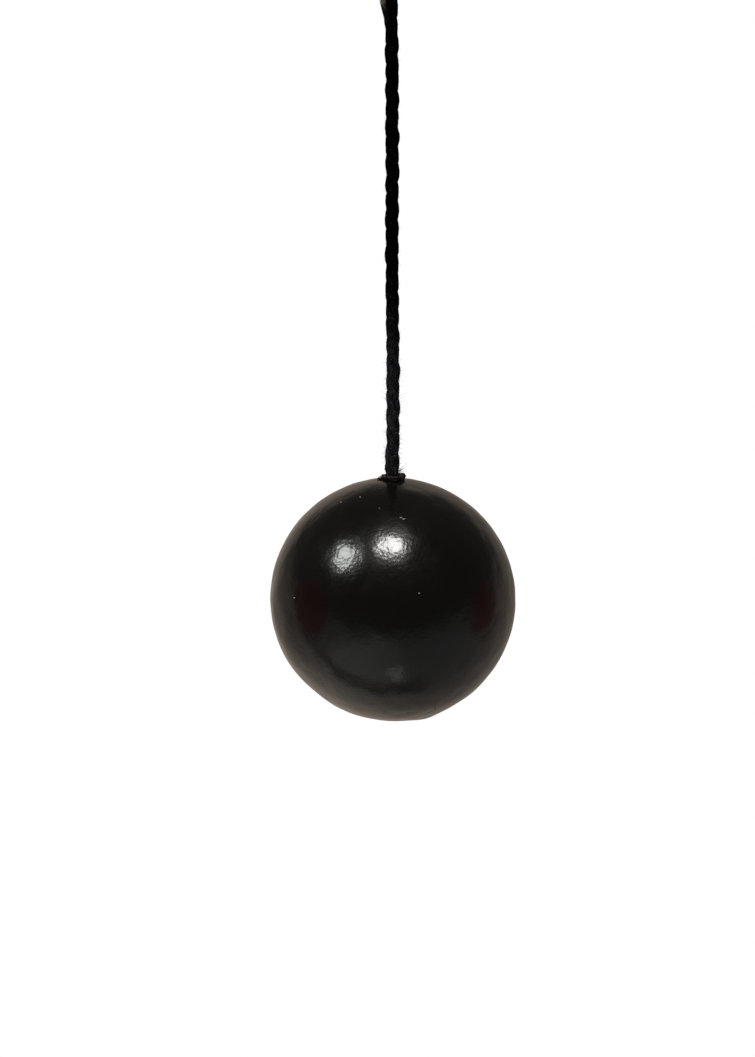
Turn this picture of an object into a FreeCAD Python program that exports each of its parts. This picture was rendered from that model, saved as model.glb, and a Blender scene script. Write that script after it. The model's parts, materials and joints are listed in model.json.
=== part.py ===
import FreeCAD, Part
import math
import os

import Sketcher

# A black gloss ball of turned wood, hung on a twisted cord. The cord goes down through a bore in
# the ball, and a stopper knot holds it in a pocket that a plug closes from below. Above the ball
# it ends in a loop, tied with a wrapped knot.
# Frame: the origin is where a hook bears on the inside of the loop, +Z is up, and the ball hangs
# under it on the Z axis. X lies across the loop. Everything is in millimetres.

PARTS = "parts"

# alias, value in millimetres, what it is
DRIVING_SIZES = [
    ("ball_diameter", 57.15, "ball over its enamel, a 2 1/4 inch ball"),
    ("coat_thickness", 0.5, "dried enamel over its filler, several coats"),
    ("cord_diameter", 3.1, "three-strand twisted cord"),
    ("bore_diameter", 4.0, "hole for the cord, from the top of the ball to its pocket"),
    ("pocket_diameter", 10.0, "pocket for the stopper knot, bored from below"),
    ("pocket_depth", 18.0, "pocket, from the bottom of the core to its shoulder"),
    ("plug_length", 5.0, "plug that closes the pocket"),
    ("stopper_width", 8.4, "stopper knot across the cord"),
    ("stopper_length", 7.6, "stopper knot along the cord"),
    ("stopper_tail_length", 4.5, "end of the cord below the stopper knot"),
    ("collar_diameter", 6.0, "rim of glue round the mouth of the bore"),
    ("collar_crown_diameter", 4.6, "the same rim at its crest"),
    ("collar_height", 1.0, "crest of that rim above the top of the ball"),
    ("glue_depth", 6.0, "how far the glue ran into the bore"),
    ("tilt_height", 2.2, "where the cord bends, above the top of the ball"),
    ("hang_height", 200.0, "from the hook down to the middle of the ball"),
    ("twist_drop", 108.0, "from the hook down to the middle of the free cord"),
    ("knot_drop", 40.0, "from the hook down to the middle of the loop knot"),
    ("knot_width", 11.5, "loop knot across the cord"),
    ("knot_length", 15.0, "loop knot along the cord"),
    ("tail_length", 8.0, "end of the cord below the loop knot"),
    ("tail_offset", 3.4, "from the middle of the cord back to the middle of that end"),
    ("knot_gap", 0.3, "room between the loop knot and the round head of the cord"),
    ("face_gap", 0.1, "room between two lengths of cord that turn against each other"),
]

# The loop's route in the XZ plane, up one leg, over the hook and down the other.
LOOP_ROUTE = [
    (-1.9, -30.65),
    (-5.2, -20.0),
    (-10.35, -6.26),
    (-4.8, 1.55),
    (4.8, 1.55),
    (10.35, -6.26),
    (5.2, -20.0),
    (1.9, -30.65),
]
ARC_SHARE = 0.45  # of the shorter run, which an arc of the route takes up at each corner

ORIGIN_POINT = (-1, 1)
VERTICAL_AXIS = -2
START, END, CENTRE = 1, 2, 3

doc = FreeCAD.newDocument("ball_on_a_cord")
sheet = doc.addObject("Spreadsheet::Sheet", "Sizes")
for row, (alias, size, meaning) in enumerate(DRIVING_SIZES, 1):
    sheet.set(f"A{row}", meaning)
    sheet.set(f"B{row}", str(size))
    sheet.setAlias(f"B{row}", alias)
doc.recompute()

BALL_RADIUS = "Sizes.ball_diameter / 2"
CORE_RADIUS = f"({BALL_RADIUS} - Sizes.coat_thickness)"
CORD_RADIUS = "Sizes.cord_diameter / 2"
BORE_RADIUS = "Sizes.bore_diameter / 2"
POCKET_RADIUS = "Sizes.pocket_diameter / 2"
POCKET_TOP = f"(Sizes.pocket_depth - {CORE_RADIUS})"
PLUG_TOP = f"(Sizes.plug_length - {CORE_RADIUS})"
GLUE_BOTTOM = f"({BALL_RADIUS} - Sizes.glue_depth)"
COLLAR_CREST = f"({BALL_RADIUS} + Sizes.collar_height)"
TILT_PIVOT = f"({BALL_RADIUS} + Sizes.tilt_height)"
# The stopper knot, an ellipsoid, rests on the rim of the bore: this is its middle.
STOPPER_MIDDLE = (
    f"({POCKET_TOP} - Sizes.stopper_length / 2"
    f" * sqrt(1 - pow(Sizes.bore_diameter / Sizes.stopper_width; 2)))"
)


def amount(expression):
    """The number that an expression on the sheet comes to."""
    return float(sheet.evalExpression(str(expression)))


def bind(piece, **expressions):
    """Binds properties of a piece to expressions on the sheet."""
    for name, expression in expressions.items():
        piece.setExpression(name, expression)


def bind_place(piece, z, y="0"):
    """Binds a piece's place, in the frame of the whole object."""
    bind(piece, **{"Placement.Base.y": y, "Placement.Base.z": z})


def below_hook(drop, extra="0"):
    """A height that is a drop below the hook, plus something."""
    return f"-Sizes.{drop} + {extra}"


class Outline:
    """A closed outline of lines and arcs in the XZ plane, one side of the Z axis.

    Each corner is a radius and a height, as expressions. A None is left to the arc that ends
    there. An edge to the next corner is None for a line, or an arc's centre height and radius.
    """

    def __init__(self, sketch):
        self.sketch = sketch
        self.named = 0

    def fix(self, kind, geometry, point, expression):
        """A named dimension from the origin, bound to an expression."""
        if str(expression) == "0" and kind == "DistanceX":
            held = Sketcher.Constraint("PointOnObject", geometry, point, VERTICAL_AXIS)
            self.sketch.addConstraint(held)
            return
        name = f"size_{self.named}"
        self.named += 1
        ends = (*ORIGIN_POINT, geometry, point)
        index = self.sketch.addConstraint(Sketcher.Constraint(kind, *ends, amount(expression)))
        self.sketch.renameConstraint(index, name)
        self.sketch.setExpression(f"Constraints.{name}", expression)

    def add_arc(self, start, end, centre_height, radius):
        """Adds the shorter arc from start to end. Returns which of its points come first and last."""
        middle = amount(centre_height)
        angles = [math.atan2(z - middle, x) for x, z in (start, end)]
        circle = Part.Circle(
            FreeCAD.Vector(0, middle, 0), FreeCAD.Vector(0, 0, 1), amount(radius)
        )
        arc = self.sketch.addGeometry(Part.ArcOfCircle(circle, min(angles), max(angles)))
        on_axis = Sketcher.Constraint("PointOnObject", arc, CENTRE, VERTICAL_AXIS)
        if str(centre_height) == "0":
            on_axis = Sketcher.Constraint("Coincident", arc, CENTRE, *ORIGIN_POINT)
        self.sketch.addConstraint(on_axis)
        if str(centre_height) != "0":
            self.fix("DistanceY", arc, CENTRE, centre_height)
        name = f"size_{self.named}"
        self.named += 1
        index = self.sketch.addConstraint(Sketcher.Constraint("Radius", arc, amount(radius)))
        self.sketch.renameConstraint(index, name)
        self.sketch.setExpression(f"Constraints.{name}", radius)
        anticlockwise = angles[0] < angles[1]
        return (arc, START, END) if anticlockwise else (arc, END, START)

    def place(self, corner, arc):
        """A corner's coordinates, with the one that an arc settles worked out from it."""
        radius, height = corner
        if radius is not None and height is not None:
            return amount(radius), amount(height)
        middle, size = amount(arc[0]), amount(arc[1])
        if height is None:
            side = arc[2] if len(arc) > 2 else 1
            x = amount(radius)
            return x, middle + side * math.sqrt(size**2 - x**2)
        z = amount(height)
        return math.sqrt(size**2 - (z - middle) ** 2), z

    def draw(self, corners, edges, sides):
        """Draws the outline. sides says, for a corner whose height an arc settles, over or under."""
        count = len(corners)
        spots = []
        for index, corner in enumerate(corners):
            arc = edges[index] or edges[index - 1]
            settled = (*arc, sides.get(index, 1)) if arc else None
            spots.append(self.place(corner, settled))
        drawn = []
        for index, edge in enumerate(edges):
            start, end = spots[index], spots[(index + 1) % count]
            if edge:
                drawn.append(self.add_arc(start, end, *edge))
                continue
            line = Part.LineSegment(FreeCAD.Vector(*start, 0), FreeCAD.Vector(*end, 0))
            drawn.append((self.sketch.addGeometry(line), START, END))
        for index, (geometry, first, last) in enumerate(drawn):
            following = drawn[(index + 1) % count]
            join = Sketcher.Constraint("Coincident", geometry, last, *following[:2])
            self.sketch.addConstraint(join)
            radius, height = corners[index]
            if radius is not None:
                self.fix("DistanceX", geometry, first, radius)
            if height is not None:
                self.fix("DistanceY", geometry, first, height)


def plane_of(body, role):
    """One of a body's own origin planes."""
    return next(feature for feature in body.Origin.OriginFeatures if feature.Role == role)


def turned_body(name, z, corners, edges, sides=None):
    """A body turned about the Z axis from its outline, with the ball's middle or the hook at z."""
    body = doc.addObject("PartDesign::Body", name)
    sketch = body.newObject("Sketcher::SketchObject", f"{name}_outline")
    sketch.AttachmentSupport = (plane_of(body, "XZ_Plane"), [""])
    sketch.MapMode = "FlatFace"
    Outline(sketch).draw(corners, edges, sides or {})
    doc.recompute()
    turning = body.newObject("PartDesign::Revolution", f"{name}_turning")
    turning.Profile = sketch
    turning.ReferenceAxis = (sketch, ["V_Axis"])
    turning.Angle = 360
    body.Tip = turning
    bind_place(body, z)
    return body


def cord_length(name, bottom, top, y="0"):
    """A straight length of cord, between two heights."""
    cord = doc.addObject("Part::Cylinder", name)
    bind(cord, Radius=CORD_RADIUS, Height=f"({top}) - ({bottom})")
    bind_place(cord, bottom, y)
    return cord


def knot_form(name, width, length, z):
    """A pulled-tight knot as an ellipsoid: Radius1 is along Z, Radius2 and Radius3 across."""
    knot = doc.addObject("Part::Ellipsoid", name)
    bind(knot, Radius1=f"Sizes.{length} / 2", Radius2=f"Sizes.{width} / 2")
    bind(knot, Radius3=f"Sizes.{width} / 2")
    bind_place(knot, z)
    return knot


def cut_to_knot(name, cord, knot):
    """A length of cord that ends on the surface of its knot."""
    cut = doc.addObject("Part::Cut", name)
    cut.Base = cord
    cut.Tool = knot
    return cut


def ball_core():
    """The turned ball: bored from the top, with a pocket bored from below."""
    corners = [
        (BORE_RADIUS, None),
        (POCKET_RADIUS, None),
        (POCKET_RADIUS, POCKET_TOP),
        (BORE_RADIUS, POCKET_TOP),
    ]
    edges = [("0", CORE_RADIUS), None, None, None]
    return turned_body("ball_core", below_hook("hang_height"), corners, edges, {1: -1})


def enamel_coat():
    """The enamel film, from the mouth of the bore round and over the plug."""
    corners = [(BORE_RADIUS, None), ("0", None), ("0", None), (BORE_RADIUS, None)]
    edges = [("0", BALL_RADIUS), None, ("0", CORE_RADIUS), None]
    return turned_body("enamel_coat", below_hook("hang_height"), corners, edges, {1: -1, 2: -1})


def bottom_plug():
    """The plug in the pocket, dressed flush with the core."""
    corners = [("0", PLUG_TOP), (POCKET_RADIUS, PLUG_TOP), (POCKET_RADIUS, None), ("0", None)]
    edges = [None, None, ("0", CORE_RADIUS), None]
    return turned_body("bottom_plug", below_hook("hang_height"), corners, edges, {2: -1, 3: -1})


def glue_collar():
    """Glue that fills the top of the bore round the cord and stands proud as a rim."""
    corners = [
        (CORD_RADIUS, GLUE_BOTTOM),
        (BORE_RADIUS, GLUE_BOTTOM),
        (BORE_RADIUS, None),
        ("Sizes.collar_diameter / 2", None),
        ("Sizes.collar_crown_diameter / 2", COLLAR_CREST),
        (CORD_RADIUS, COLLAR_CREST),
    ]
    edges = [None, None, ("0", BALL_RADIUS), None, None, None]
    return turned_body("glue_collar", below_hook("hang_height"), corners, edges)


def lower_cord():
    """The free cord's lower half. Its round foot turns in the mouth of the bore."""
    foot = below_hook("hang_height", TILT_PIVOT)
    top = below_hook("twist_drop", "-Sizes.face_gap")
    corners = [("0", None), (None, foot), (CORD_RADIUS, top), ("0", top)]
    edges = [(foot, CORD_RADIUS), None, None, None]
    return turned_body("lower_cord", "0", corners, edges, {0: -1})


def cord_inside():
    """The cord inside the ball: the stopper knot, the length in the bore and the end below it."""
    middle = below_hook("hang_height", STOPPER_MIDDLE)
    knot = knot_form("stopper_knot", "stopper_width", "stopper_length", middle)
    top = below_hook("hang_height", f"{TILT_PIVOT} - {CORD_RADIUS} - Sizes.face_gap")
    bottom = f"{middle} - Sizes.stopper_length / 2 - Sizes.stopper_tail_length"
    above = cord_length("bore_run", middle, top)
    below = cord_length("end_run", bottom, middle)
    in_bore = cut_to_knot("cord_in_bore", above, knot)
    return [knot, in_bore, cut_to_knot("stopper_tail", below, knot)]


def upper_cord():
    """The free cord's upper half. Its round head turns just under the loop knot."""
    head = below_hook("knot_drop", f"-Sizes.knot_length / 2 - Sizes.knot_gap - {CORD_RADIUS}")
    bottom = below_hook("twist_drop")
    corners = [("0", bottom), (CORD_RADIUS, bottom), (None, head), ("0", None)]
    edges = [None, None, (head, CORD_RADIUS), None]
    return turned_body("upper_cord", "0", corners, edges)


def loop_knot_and_tail():
    """The knot that closes the loop, and the end of the cord that comes out of it."""
    knot = knot_form("loop_knot", "knot_width", "knot_length", below_hook("knot_drop"))
    end = below_hook("knot_drop", "-Sizes.knot_length / 2 - Sizes.tail_length")
    run = cord_length("tail_run", end, below_hook("knot_drop"), "Sizes.tail_offset")
    return [knot, cut_to_knot("loop_tail", run, knot)]


def rounded_route(points):
    """Straight runs joined by tangent arcs, as edges, and the arcs' radii."""
    spots = [FreeCAD.Vector(x, 0, z) for x, z in points]
    edges, radii = [], []
    reached = spots[0]
    for before, corner, after in zip(spots, spots[1:], spots[2:]):
        arriving, leaving = corner - before, after - corner
        reach = ARC_SHARE * min(arriving.Length, leaving.Length)
        turn = arriving.getAngle(leaving)
        radius = reach / math.tan(turn / 2)
        into = corner - arriving.normalize() * reach
        out = corner + leaving.normalize() * reach
        chord_middle = (into + out) * 0.5
        to_corner = corner - chord_middle
        crown = radius * (1 / math.cos(turn / 2) - 1)
        top = corner - to_corner.normalize() * crown
        edges.append(Part.LineSegment(reached, into).toShape())
        edges.append(Part.Arc(into, top, out).toShape())
        radii.append(radius)
        reached = out
    edges.append(Part.LineSegment(reached, spots[-1]).toShape())
    return edges, radii


def hanging_loop():
    """The loop, a round tube swept along its route. Its edges' total length is printed."""
    edges, radii = rounded_route(LOOP_ROUTE)
    route = doc.addObject("Part::Feature", "loop_route")
    route.Shape = Part.Wire(edges)
    section = doc.addObject("Part::Circle", "loop_section")
    bind(section, Radius=CORD_RADIUS)
    heading = edges[0].tangentAt(edges[0].FirstParameter)
    turn = FreeCAD.Rotation(FreeCAD.Vector(0, 0, 1), heading)
    section.Placement = FreeCAD.Placement(edges[0].Vertexes[0].Point, turn)
    sweep = doc.addObject("Part::Sweep", "hanging_loop")
    sweep.Sections = [section]
    sweep.Spine = (route, [f"Edge{n}" for n in range(1, len(edges) + 1)])
    sweep.Solid = True
    sweep.Frenet = False
    print("loop arcs' radii", [round(radius, 1) for radius in radii])
    return sweep


nodes = [ball_core(), enamel_coat(), bottom_plug(), glue_collar(), lower_cord(), upper_cord()]
nodes += cord_inside() + loop_knot_and_tail() + [hanging_loop()]
doc.recompute()

for thing in doc.Objects:
    if "Invalid" in thing.State or "Error" in thing.State:
        raise RuntimeError(f"{thing.Name} failed: {thing.State}")

os.makedirs(PARTS, exist_ok=True)
for node in nodes:
    node.Label = node.Name
    shape = node.Shape
    if shape.isNull() or not shape.isValid() or len(shape.Solids) != 1:
        raise RuntimeError(f"{node.Label} isn't one valid solid")
    shape.exportStep(os.path.join(PARTS, f"{node.Label}.step"))
    box = shape.BoundBox
    low = [round(value, 2) for value in (box.XMin, box.YMin, box.ZMin)]
    high = [round(value, 2) for value in (box.XMax, box.YMax, box.ZMax)]
    print(f"{node.Label}: {shape.Volume:.2f} mm3, {low} to {high}")

# A swept tube's volume is its section times its length, which shows that it swept cleanly.
loop_length = doc.loop_route.Shape.Length
loop_section = math.pi * amount(CORD_RADIUS) ** 2
print(f"loop {loop_length:.1f} mm long, section times length {loop_section * loop_length:.2f} mm3")
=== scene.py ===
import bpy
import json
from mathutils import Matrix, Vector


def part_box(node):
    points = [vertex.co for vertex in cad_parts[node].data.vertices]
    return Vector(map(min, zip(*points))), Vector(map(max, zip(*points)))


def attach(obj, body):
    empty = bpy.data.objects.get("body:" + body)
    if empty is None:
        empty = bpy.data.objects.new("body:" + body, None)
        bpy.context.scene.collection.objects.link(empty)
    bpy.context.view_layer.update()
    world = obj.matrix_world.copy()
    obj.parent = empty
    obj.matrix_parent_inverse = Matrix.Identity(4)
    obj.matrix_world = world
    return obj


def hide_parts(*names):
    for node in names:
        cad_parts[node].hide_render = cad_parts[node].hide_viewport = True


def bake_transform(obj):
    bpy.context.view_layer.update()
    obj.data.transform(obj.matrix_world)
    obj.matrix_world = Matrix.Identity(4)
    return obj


bl_info = {
    "name": "Ball on a Cord",
    "version": (1, 0, 0),
    "blender": (4, 5, 0),
    "location": "View3D > Sidebar > Ball on a Cord",
    "description": "A black enamelled ball hung on a three-strand cord, with its knots, loop and glue rim",
    "category": "Object",
}

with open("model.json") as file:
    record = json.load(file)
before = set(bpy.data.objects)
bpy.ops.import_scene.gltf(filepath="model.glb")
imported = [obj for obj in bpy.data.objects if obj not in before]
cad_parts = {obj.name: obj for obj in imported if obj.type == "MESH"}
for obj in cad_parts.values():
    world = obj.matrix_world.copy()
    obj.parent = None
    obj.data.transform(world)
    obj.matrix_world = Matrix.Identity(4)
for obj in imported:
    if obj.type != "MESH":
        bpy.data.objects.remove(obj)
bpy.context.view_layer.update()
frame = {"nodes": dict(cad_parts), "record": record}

import json
import math

import bmesh
import bpy
import numpy as np
from bpy.props import FloatProperty, FloatVectorProperty, IntProperty, PointerProperty, StringProperty
from mathutils import Vector

MM = 0.001

# Places along the Z axis, from the frame.
BALL_LOW, BALL_HIGH = (Vector(corner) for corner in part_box("enamel_coat"))
BALL_RADIUS = (BALL_HIGH.x - BALL_LOW.x) / 2
BALL_CENTRE = Vector((0, 0, BALL_LOW.z + BALL_RADIUS))
BALL_TOP = BALL_CENTRE.z + BALL_RADIUS
CORE_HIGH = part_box("ball_core")[1]
BORE_RADIUS = math.sqrt(BALL_RADIUS**2 - (BALL_HIGH.z - BALL_CENTRE.z) ** 2)
KNOT_LOW, KNOT_HIGH = (Vector(corner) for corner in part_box("loop_knot"))
KNOT_MIDDLE = (KNOT_LOW.z + KNOT_HIGH.z) / 2
JOINT_HEIGHT = {joint["name"]: joint["pos_m"][2] for joint in frame["record"]["behaviour"]["joints"]}
STOPPER_MIDDLE = sum(corner[2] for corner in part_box("stopper_knot")) / 2

# The free cord's route in millimetres, from the stopper knot up into the loop knot. It is pulled
# tight, so it only leans and sways a little, as the strands let it.
CORD_ROUTE = [
    (-0.1, 0.0, -209.6), (-0.1, 0.0, -197.0), (-0.1, 0.0, -184.0), (-0.1, 0.0, -172.0),
    (-0.08, 0.0, -166.5), (0.0, 0.0, -159.0), (0.0, 0.0, -149.0), (-0.1, 0.0, -134.0),
    (-0.30, 0.0, -117.0), (-0.18, 0.0, -100.0), (-0.22, 0.0, -83.0), (-0.32, 0.0, -69.0),
    (-0.64, 0.0, -59.5), (-0.1, 0.0, -52.5), (0.0, 0.0, -49.0), (0.0, 0.0, -45.0),
]

# The loop's own route, up one leg, over the hook and down the other.
LOOP_ROUTE = [
    (-1.9, 0.0, -30.65), (-5.2, 0.0, -20.0), (-10.35, 0.0, -6.26), (-4.8, 0.0, 1.55),
    (4.8, 0.0, 1.55), (10.35, 0.0, -6.26), (5.2, 0.0, -20.0), (1.9, 0.0, -30.65),
]
# Inside the knot: the standing part that the loop starts from, the leg that comes down beside it,
# and, after the wraps, the end that goes back down through them.
KNOT_STANDING = [(0.0, 0.0, -47.2), (-0.5, -0.6, -43.5), (-1.1, -0.8, -39.5), (-1.7, -0.4, -35.0)]
KNOT_LEG = [(1.5, 0.9, -35.0), (1.1, 1.5, -39.5), (1.2, 1.6, -43.0), (2.4, 2.0, -45.6)]
KNOT_END = [
    (1.0, -2.9, -33.4), (-0.8, -1.0, -35.0), (-0.9, 1.0, -38.5), (-0.5, 1.9, -42.5),
    (0.0, 2.9, -46.5), (0.15, 3.5, -49.5), (0.1, 3.6, -52.5), (0.35, 3.3, -55.3),
]
# The stopper knot, an overhand knot: from its middle, with the cord coming in from above.
STOPPER_ROUTE = [
    (-0.1, 0.0, 5.2), (-0.5, 0.0, 3.0), (-0.9, 0.4, 1.2), (-0.6, 0.9, -1.2), (1.0, 0.6, -2.3),
    (2.4, -0.6, -1.1), (2.1, -1.8, 1.0), (-0.3, -2.4, 1.9), (-2.5, -0.9, 1.1), (-2.3, 1.5, -0.3),
    (-0.4, 2.3, -0.7), (1.4, 1.1, 0.3), (1.1, -0.5, -1.3), (0.4, -0.6, -3.6), (0.2, -0.2, -8.0),
]


class CordSettings(bpy.types.PropertyGroup):
    """The cord and everything tied in it."""

    diameter: FloatProperty(
        name="Diameter", description="Across the twisted cord", default=3.1 * MM, unit="LENGTH")
    strand_radius: FloatProperty(
        name="Strand radius", description="Radius of one of the three strands",
        default=1.11 * MM, unit="LENGTH")
    strand_reach: FloatProperty(
        name="Strand reach", description="From the middle of the cord to the middle of a strand",
        default=0.50 * MM, unit="LENGTH")
    slack: FloatProperty(
        name="Slack", description="How far the slack strand bulges above the ball",
        default=0.5 * MM, unit="LENGTH")
    lay_length: FloatProperty(
        name="Lay length", description="Length in which a strand goes once round the cord",
        default=12.6 * MM, unit="LENGTH")
    yarns: IntProperty(
        name="Yarns", description="Yarns on the surface of a strand", default=7, min=3)
    yarn_lay: FloatProperty(
        name="Yarn lay", description="Length in which a yarn goes once round its strand",
        default=9.5 * MM, unit="LENGTH")
    yarn_depth: FloatProperty(
        name="Yarn depth", description="Depth of the grooves between yarns",
        default=0.07 * MM, unit="LENGTH")
    wraps: IntProperty(
        name="Wraps", description="Turns of the end round the loop knot", default=4, min=2)
    fibres: IntProperty(
        name="Loose fibres", description="Fibre ends that stand off the cord, per millimetre",
        default=26, min=0)
    seed: IntProperty(name="Seed", description="Seed of the loose fibres", default=7)
    colour: StringProperty(name="Colour", description="Dyed cotton, sRGB hex", default="010102")
    # Grey of the painted glints on the yarns, and of the rubbed yarns at the knot and the loop.
    glint_and_wear_colour: StringProperty(
        name="Worn colour", description="Dusty, rubbed yarns, sRGB hex", default="47464D")


class BallSettings(bpy.types.PropertyGroup):
    """The enamelled ball and the rim of glue on it."""

    peel_size: FloatProperty(
        name="Peel size", description="Width of one cell of the enamel's orange peel",
        default=0.8 * MM, unit="LENGTH")
    peel_depth: FloatProperty(
        name="Peel depth", description="Depth of the orange peel", default=0.009 * MM, unit="LENGTH")
    wave_depth: FloatProperty(
        name="Wave depth", description="Depth of the brush and sag waves in the enamel",
        default=0.022 * MM, unit="LENGTH")
    collar_radius: FloatProperty(
        name="Rim radius", description="Radius of the glue rim at the mouth of the bore",
        default=2.95 * MM, unit="LENGTH")
    collar_height: FloatProperty(
        name="Rim height", description="Height of the glue rim", default=0.95 * MM, unit="LENGTH")
    seed: IntProperty(name="Seed", description="Seed of the waves and dust", default=11)
    enamel_colour: StringProperty(
        name="Enamel colour", description="Black gloss enamel, sRGB hex", default="040303")
    glue_colour: StringProperty(
        name="Glue colour", description="Dried glue under enamel, sRGB hex", default="20120E")
    wood_colour: StringProperty(
        name="Wood colour", description="Turned beech, sRGB hex", default="C39A6B")


class StageSettings(bpy.types.PropertyGroup):
    """The camera, the light and the floor."""

    distance: FloatProperty(
        name="Camera distance", description="From the middle of the view", default=1.2, unit="LENGTH")
    elevation: FloatProperty(
        name="Camera elevation", description="Angle above the horizon",
        default=math.radians(9), subtype="ANGLE")
    lens: FloatProperty(name="Lens", description="Focal length in millimetres", default=175.0)
    aim: FloatVectorProperty(
        name="Aim", description="Middle of the view, from the ball: to the left, and up", size=2,
        default=(3.6 * MM, 16.5 * MM), unit="LENGTH")
    key_power: FloatProperty(
        name="Key power", description="Large lamp above the camera", default=17.5, unit="POWER")
    second_power: FloatProperty(
        name="Second power", description="Smaller lamp on the left", default=8.6, unit="POWER")
    floor_drop: FloatProperty(
        name="Floor drop", description="Floor, below the middle of the ball", default=0.55,
        unit="LENGTH")
    floor_colour: StringProperty(
        name="Floor colour", description="Pale painted floor, sRGB hex", default="F4F3F1")


def linear(hex_colour, alpha=1.0):
    """An sRGB hex colour as linear RGBA."""
    parts = np.array([int(hex_colour[i:i + 2], 16) for i in (0, 2, 4)]) / 255
    straight = np.where(parts <= 0.04045, parts / 12.92, ((parts + 0.055) / 1.055) ** 2.4)
    return (*straight, alpha)


def add_node(tree, kind, inputs=None, **settings):
    """Adds a shader node. Each input is given a value, or a socket to link from, or a node whose
    first output it is linked from."""
    node = tree.nodes.new("ShaderNode" + kind)
    for name, value in settings.items():
        setattr(node, name, value)
    for name, value in (inputs or {}).items():
        value = value.outputs[0] if isinstance(value, bpy.types.Node) else value
        if isinstance(value, bpy.types.NodeSocket):
            tree.links.new(value, node.inputs[name])
        else:
            node.inputs[name].default_value = value
    return node


def new_material(name):
    """An empty node material, and its tree."""
    material = bpy.data.materials.new(name)
    material.use_nodes = True
    material.node_tree.nodes.clear()
    return material, material.node_tree


def black_gloss_enamel(ball):
    """Black gloss alkyd enamel, dipped and brushed over filler. It dries with orange peel, so it
    mirrors the room sharply but wavily, and its black hides everything under it."""
    material, tree = new_material("black_gloss_enamel")
    place = add_node(tree, "TexCoord").outputs["Object"]
    cells = 1 / ball.peel_size
    bent = add_node(tree, "TexNoise", {"Vector": place, "Scale": cells * 0.6, "Detail": 1.0})
    pushed = add_node(
        tree, "VectorMath", {0: bent.outputs["Color"], 1: (0.5 * MM, 0.5 * MM, 0.5 * MM), 2: place},
        operation="MULTIPLY_ADD")
    peel = add_node(
        tree, "TexVoronoi", {"Vector": pushed, "Scale": cells, "Smoothness": 0.25}, feature="SMOOTH_F1")
    swell = add_node(
        tree, "TexNoise", {"Vector": place, "Scale": cells * 0.5, "Detail": 1.0, "Roughness": 0.4})
    height = add_node(
        tree, "Math", {0: peel.outputs["Distance"], 1: 0.55, 2: swell.outputs["Fac"]},
        operation="MULTIPLY_ADD")
    bump = add_node(tree, "Bump", {"Height": height, "Strength": 1.0, "Distance": ball.peel_depth * 4})
    handling = add_node(
        tree, "TexNoise", {"Vector": place, "Scale": 90.0, "Detail": 4.0, "Roughness": 0.6})
    rough = add_node(
        tree, "MapRange",
        {"Value": handling.outputs["Fac"], "From Min": 0.35, "From Max": 0.7, "To Min": 0.13,
         "To Max": 0.22})
    rough = add_node(tree, "Math", {0: rough, 1: 0.08}, operation="ADD")
    tint = add_node(
        tree, "Mix",
        {"Factor": handling.outputs["Fac"], "A": linear(ball.enamel_colour), "B": linear("060504")},
        data_type="RGBA")
    shader = add_node(
        tree, "BsdfPrincipled",
        {"Base Color": tint.outputs["Result"], "Roughness": rough, "IOR": 1.5,
         "Specular IOR Level": 0.27, "Coat Weight": 0.5, "Coat Roughness": 0.145, "Coat IOR": 1.5,
         "Normal": bump, "Coat Normal": bump})
    add_node(tree, "OutputMaterial", {"Surface": shader})
    return material


def dried_glue(ball):
    """Brown hide glue squeezed out round the cord and caught by the enamel: a glassy, wrinkled,
    dark brown skin, thin and pointed at its edge."""
    material, tree = new_material("dried_glue")
    place = add_node(tree, "TexCoord").outputs["Object"]
    wrinkle = add_node(tree, "TexNoise", {"Vector": place, "Scale": 1500.0, "Detail": 3.0})
    bump = add_node(
        tree, "Bump", {"Height": wrinkle.outputs["Fac"], "Strength": 1.0, "Distance": 0.04 * MM})
    tint = add_node(
        tree, "Mix",
        {"Factor": wrinkle.outputs["Fac"], "A": linear("080504"), "B": linear(ball.glue_colour)},
        data_type="RGBA")
    shader = add_node(
        tree, "BsdfPrincipled",
        {"Base Color": tint.outputs["Result"], "Roughness": 0.36, "IOR": 1.52, "Normal": bump})
    add_node(tree, "OutputMaterial", {"Surface": shader})
    return material


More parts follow.
